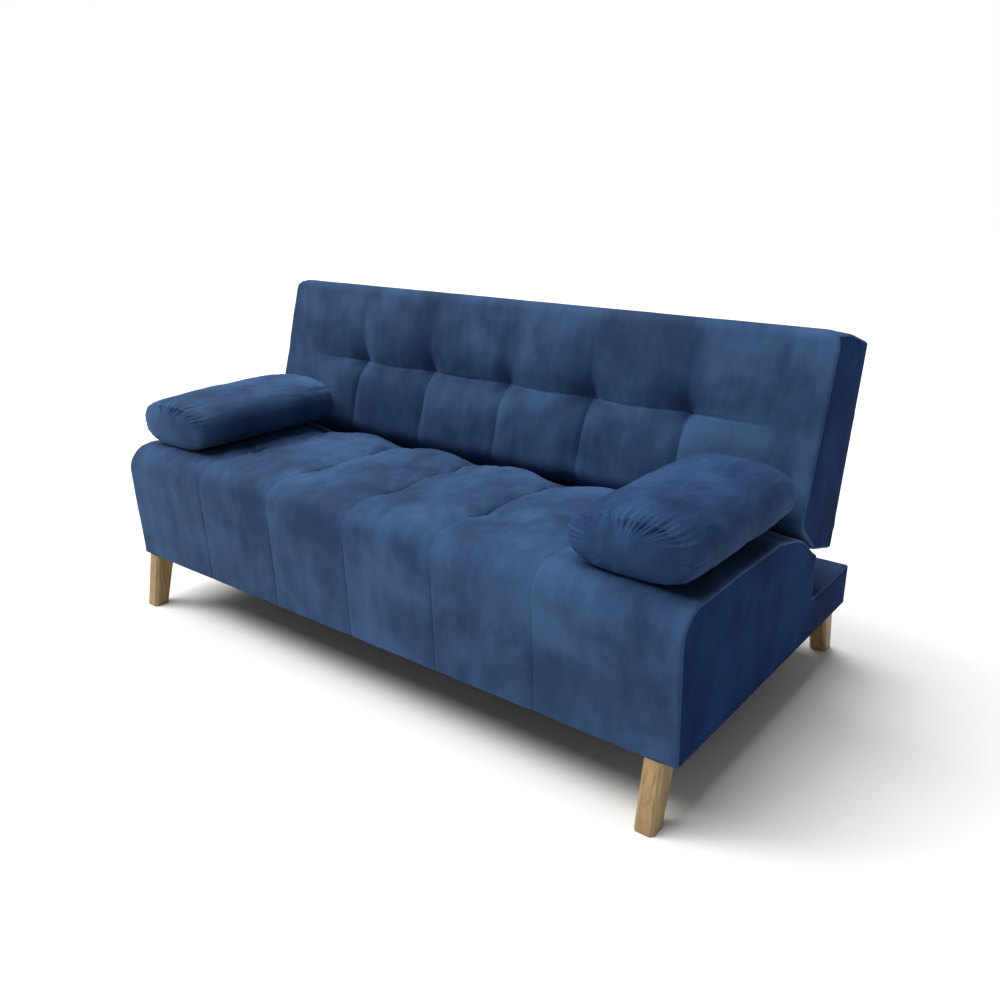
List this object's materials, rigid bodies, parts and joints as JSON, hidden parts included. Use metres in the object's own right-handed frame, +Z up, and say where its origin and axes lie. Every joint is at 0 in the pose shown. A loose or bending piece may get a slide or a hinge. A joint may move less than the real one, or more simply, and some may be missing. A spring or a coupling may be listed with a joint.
{
  "type": "futon sofa bed",
  "caption": "Upholstered sofa bed with a tufted seat, a reclining wedge back that lies flat, loose arm cushions and splayed wooden legs.",
  "frame": {"origin": "centre of the footprint, on the floor", "axes": "+X along the sofa to its right-hand end, +Y from the front to the rear, +Z up"},
  "size_m": [1.8, 1.003, 0.9065],
  "materials": {
    "upholstery": "matte",
    "lining": "matte",
    "foam": "matte",
    "webbing": "matte",
    "leg_wood": "satin",
    "timber": "matte",
    "plywood": "matte",
    "spring_steel": "satin",
    "hinge_steel": "satin",
    "plated_steel": "satin"
  },
  "bodies": {
    "base": {"corner_blocks": "timber", "cross_bearers": "timber", "dust_cover": "lining", "frame_screws": "plated_steel", "front_board": "plywood", "front_left_leg": "leg_wood", "front_padding": "foam", "front_right_leg": "leg_wood", "hinge_plate_bolts": "plated_steel", "hinge_plate_nuts": "plated_steel", "hinge_washers": "plated_steel", "ledge_bearers": "timber", "ledge_board": "plywood", "ledge_cover": "upholstery", "left_hinge_pin": "plated_steel", "left_hinge_plate": "hinge_steel", "left_side_board": "plywood", "left_side_cover": "upholstery", "leg_bolts": "plated_steel", "leg_plate_screws": "plated_steel", "leg_plates": "plated_steel", "rear_board": "plywood", "rear_left_leg": "leg_wood", "rear_right_leg": "leg_wood", "right_hinge_pin": "plated_steel", "right_hinge_plate": "hinge_steel", "right_side_board": "plywood", "right_side_cover": "upholstery", "riser_board": "plywood", "seat_cover": "upholstery", "seat_foam": "foam", "seat_front_rail": "timber", "seat_rear_rail": "timber", "seat_springs": "spring_steel", "spring_clips": "spring_steel"},
    "backrest": {"back_bottom_board": "plywood", "back_cover": "upholstery", "back_foam": "foam", "back_rear_board": "plywood", "back_rear_cover": "upholstery", "back_ribs": "plywood", "back_screws": "plated_steel", "back_top_board": "plywood", "back_webbing": "webbing", "hinge_arm_bolts": "plated_steel", "hinge_arm_nuts": "plated_steel", "left_back_panel": "plywood", "left_back_side_cover": "upholstery", "left_hinge_arm": "hinge_steel", "right_back_panel": "plywood", "right_back_side_cover": "upholstery", "right_hinge_arm": "hinge_steel"},
    "left_arm_cushion": {"left_cushion_cover": "upholstery", "left_cushion_filling": "foam"},
    "right_arm_cushion": {"right_cushion_cover": "upholstery", "right_cushion_filling": "foam"}
  },
  "joints": [
    {"name": "back_recline", "type": "hinge", "parent": "base", "child": "backrest", "pos_m": [0, 0.1915, 0.376], "axis": [-1, 0, 0], "range_deg": [-4, 74.3]},
    {"name": "left_arm_cushion_lift", "type": "slide", "parent": "base", "child": "left_arm_cushion", "axis": [0, 0, 1], "range_m": [0, 0.3]},
    {"name": "right_arm_cushion_lift", "type": "slide", "parent": "base", "child": "right_arm_cushion", "axis": [0, 0, 1], "range_m": [0, 0.3]}
  ]
}
